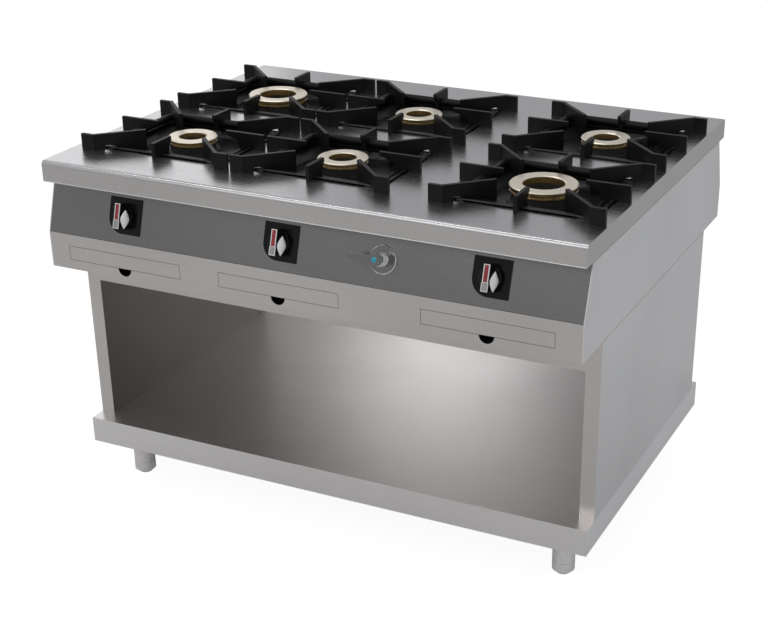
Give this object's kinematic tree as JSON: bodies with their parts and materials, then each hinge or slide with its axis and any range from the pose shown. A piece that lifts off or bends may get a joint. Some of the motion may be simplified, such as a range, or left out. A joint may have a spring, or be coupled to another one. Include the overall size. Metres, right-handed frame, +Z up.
{
  "type": "wok range",
  "caption": "Catering wok range on an open stand: pan supports over sunken ring burners, sloping control panels with knobs and a lever tap, crumb drawers and levelling feet.",
  "frame": {"origin": "on the floor, under the middle of the range", "axes": "+X to the user's right along the long side, +Y from the front to the rear, +Z up"},
  "size_m": [1.2, 0.95, 0.8186],
  "materials": {
    "worktop_steel": "fine matt, faintly blue",
    "folded_steel": "fine satin",
    "panel_steel": "dark satin",
    "black_enamel": "semi-gloss enamel",
    "cast_black": "matt black casting",
    "ring_brass": "turned, pale on top",
    "dark_casting": "rough casting",
    "galvanised_pipe": "dull zinc",
    "valve_brass": "machined",
    "black_plate": "gloss",
    "knob_black": "satin gloss",
    "chrome": "bright",
    "foot_steel": "turned"
  },
  "bodies": {
    "range_frame": {"worktop": "worktop_steel", "box_side_left": "folded_steel", "box_side_right": "folded_steel", "control_panel_front": "panel_steel", "control_panel_rear": "panel_steel", "fascia_front": "folded_steel", "fascia_rear": "folded_steel", "burner_box_floor": "folded_steel", "stand_wall_left": "folded_steel", "stand_wall_right": "folded_steel", "stand_back": "folded_steel", "stand_header": "folded_steel", "shelf_tray": "folded_steel", "foot_sleeves": "foot_steel", "drawer_runners": "folded_steel", "burner_wells": "black_enamel", "burner_bodies": "dark_casting", "gas_pipework": "galvanised_pipe", "gas_valves": "valve_brass", "control_plates": "black_plate", "tap_body": "chrome", "water_pipe": "galvanised_pipe"},
    "ring_left_front": {"burner_ring_left_front": "ring_brass"},
    "support_left_front": {"pan_support_left_front": "cast_black"},
    "push_left_front": {"collar_left_front": "foot_steel"},
    "control_left_front": {"knob_left_front": "knob_black", "spindle_left_front": "foot_steel"},
    "ring_left_rear": {"burner_ring_left_rear": "ring_brass"},
    "support_left_rear": {"pan_support_left_rear": "cast_black"},
    "push_left_rear": {"collar_left_rear": "foot_steel"},
    "control_left_rear": {"knob_left_rear": "knob_black", "spindle_left_rear": "foot_steel"},
    "ring_middle_front": {"burner_ring_middle_front": "ring_brass"},
    "support_middle_front": {"pan_support_middle_front": "cast_black"},
    "push_middle_front": {"collar_middle_front": "foot_steel"},
    "control_middle_front": {"knob_middle_front": "knob_black", "spindle_middle_front": "foot_steel"},
    "ring_middle_rear": {"burner_ring_middle_rear": "ring_brass"},
    "support_middle_rear": {"pan_support_middle_rear": "cast_black"},
    "push_middle_rear": {"collar_middle_rear": "foot_steel"},
    "control_middle_rear": {"knob_middle_rear": "knob_black", "spindle_middle_rear": "foot_steel"},
    "ring_right_front": {"burner_ring_right_front": "ring_brass"},
    "support_right_front": {"pan_support_right_front": "cast_black"},
    "push_right_front": {"collar_right_front": "foot_steel"},
    "control_right_front": {"knob_right_front": "knob_black", "spindle_right_front": "foot_steel"},
    "ring_right_rear": {"burner_ring_right_rear": "ring_brass"},
    "support_right_rear": {"pan_support_right_rear": "cast_black"},
    "push_right_rear": {"collar_right_rear": "foot_steel"},
    "control_right_rear": {"knob_right_rear": "knob_black", "spindle_right_rear": "foot_steel"},
    "drawer_left": {"crumb_drawer_left": "folded_steel"},
    "drawer_middle": {"crumb_drawer_middle": "folded_steel"},
    "drawer_right": {"crumb_drawer_right": "folded_steel"},
    "lever": {"tap_lever": "chrome"},
    "level_front_left": {"foot_front_left": "foot_steel"},
    "level_front_right": {"foot_front_right": "foot_steel"},
    "level_rear_left": {"foot_rear_left": "foot_steel"},
    "level_rear_right": {"foot_rear_right": "foot_steel"}
  },
  "joints": [
    {"name": "lift_ring_left_front", "type": "slide", "parent": "range_frame", "child": "ring_left_front", "axis": [0, 0, 1], "range_m": [0, 0.06]},
    {"name": "lift_support_left_front", "type": "slide", "parent": "range_frame", "child": "support_left_front", "axis": [0, 0, 1], "range_m": [0, 0.15]},
    {"name": "push_knob_left_front", "type": "slide", "parent": "range_frame", "child": "push_left_front", "axis": [0, 0.95, -0.3123], "range_m": [0, 0.004], "stiffness_N_per_m": 1500, "springref_m": -0.003},
    {"name": "turn_knob_left_front", "type": "hinge", "parent": "push_left_front", "child": "control_left_front", "pos_m": [-0.412, -0.432, 0.68625], "axis": [0, -0.95, 0.3123], "range_deg": [0, 180]},
    {"name": "lift_ring_left_rear", "type": "slide", "parent": "range_frame", "child": "ring_left_rear", "axis": [0, 0, 1], "range_m": [0, 0.06]},
    {"name": "lift_support_left_rear", "type": "slide", "parent": "range_frame", "child": "support_left_rear", "axis": [0, 0, 1], "range_m": [0, 0.15]},
    {"name": "push_knob_left_rear", "type": "slide", "parent": "range_frame", "child": "push_left_rear", "axis": [0, -0.95, -0.3123], "range_m": [0, 0.004], "stiffness_N_per_m": 1500, "springref_m": -0.003},
    {"name": "turn_knob_left_rear", "type": "hinge", "parent": "push_left_rear", "child": "control_left_rear", "pos_m": [-0.412, 0.432, 0.68625], "axis": [0, 0.95, 0.3123], "range_deg": [0, 180]},
    {"name": "lift_ring_middle_front", "type": "slide", "parent": "range_frame", "child": "ring_middle_front", "axis": [0, 0, 1], "range_m": [0, 0.06]},
    {"name": "lift_support_middle_front", "type": "slide", "parent": "range_frame", "child": "support_middle_front", "axis": [0, 0, 1], "range_m": [0, 0.15]},
    {"name": "push_knob_middle_front", "type": "slide", "parent": "range_frame", "child": "push_middle_front", "axis": [0, 0.95, -0.3123], "range_m": [0, 0.004], "stiffness_N_per_m": 1500, "springref_m": -0.003},
    {"name": "turn_knob_middle_front", "type": "hinge", "parent": "push_middle_front", "child": "control_middle_front", "pos_m": [-0.0425, -0.432, 0.68625], "axis": [0, -0.95, 0.3123], "range_deg": [0, 180]},
    {"name": "lift_ring_middle_rear", "type": "slide", "parent": "range_frame", "child": "ring_middle_rear", "axis": [0, 0, 1], "range_m": [0, 0.06]},
    {"name": "lift_support_middle_rear", "type": "slide", "parent": "range_frame", "child": "support_middle_rear", "axis": [0, 0, 1], "range_m": [0, 0.15]},
    {"name": "push_knob_middle_rear", "type": "slide", "parent": "range_frame", "child": "push_middle_rear", "axis": [0, -0.95, -0.3123], "range_m": [0, 0.004], "stiffness_N_per_m": 1500, "springref_m": -0.003},
    {"name": "turn_knob_middle_rear", "type": "hinge", "parent": "push_middle_rear", "child": "control_middle_rear", "pos_m": [-0.0425, 0.432, 0.68625], "axis": [0, 0.95, 0.3123], "range_deg": [0, 180]},
    {"name": "lift_ring_right_front", "type": "slide", "parent": "range_frame", "child": "ring_right_front", "axis": [0, 0, 1], "range_m": [0, 0.06]},
    {"name": "lift_support_right_front", "type": "slide", "parent": "range_frame", "child": "support_right_front", "axis": [0, 0, 1], "range_m": [0, 0.15]},
    {"name": "push_knob_right_front", "type": "slide", "parent": "range_frame", "child": "push_right_front", "axis": [0, 0.95, -0.3123], "range_m": [0, 0.004], "stiffness_N_per_m": 1500, "springref_m": -0.003},
    {"name": "turn_knob_right_front", "type": "hinge", "parent": "push_right_front", "child": "control_right_front", "pos_m": [0.4085, -0.432, 0.68625], "axis": [0, -0.95, 0.3123], "range_deg": [0, 180]},
    {"name": "lift_ring_right_rear", "type": "slide", "parent": "range_frame", "child": "ring_right_rear", "axis": [0, 0, 1], "range_m": [0, 0.06]},
    {"name": "lift_support_right_rear", "type": "slide", "parent": "range_frame", "child": "support_right_rear", "axis": [0, 0, 1], "range_m": [0, 0.15]},
    {"name": "push_knob_right_rear", "type": "slide", "parent": "range_frame", "child": "push_right_rear", "axis": [0, -0.95, -0.3123], "range_m": [0, 0.004], "stiffness_N_per_m": 1500, "springref_m": -0.003},
    {"name": "turn_knob_right_rear", "type": "hinge", "parent": "push_right_rear", "child": "control_right_rear", "pos_m": [0.4085, 0.432, 0.68625], "axis": [0, 0.95, 0.3123], "range_deg": [0, 180]},
    {"name": "pull_drawer_left", "type": "slide", "parent": "range_frame", "child": "drawer_left", "axis": [0, -1, 0], "range_m": [0, 0.45]},
    {"name": "pull_drawer_middle", "type": "slide", "parent": "range_frame", "child": "drawer_middle", "axis": [0, -1, 0], "range_m": [0, 0.45]},
    {"name": "pull_drawer_right", "type": "slide", "parent": "range_frame", "child": "drawer_right", "axis": [0, -1, 0], "range_m": [0, 0.45]},
    {"name": "turn_tap_lever", "type": "hinge", "parent": "range_frame", "child": "lever", "pos_m": [0.183, -0.432, 0.68625], "axis": [0, -0.95, 0.3123], "range_deg": [0, 90]},
    {"name": "level_foot_front_left", "type": "slide", "parent": "range_frame", "child": "level_front_left", "axis": [0, 0, -1], "range_m": [0, 0.03]},
    {"name": "level_foot_front_right", "type": "slide", "parent": "range_frame", "child": "level_front_right", "axis": [0, 0, -1], "range_m": [0, 0.03]},
    {"name": "level_foot_rear_left", "type": "slide", "parent": "range_frame", "child": "level_rear_left", "axis": [0, 0, -1], "range_m": [0, 0.03]},
    {"name": "level_foot_rear_right", "type": "slide", "parent": "range_frame", "child": "level_rear_right", "axis": [0, 0, -1], "range_m": [0, 0.03]}
  ]
}
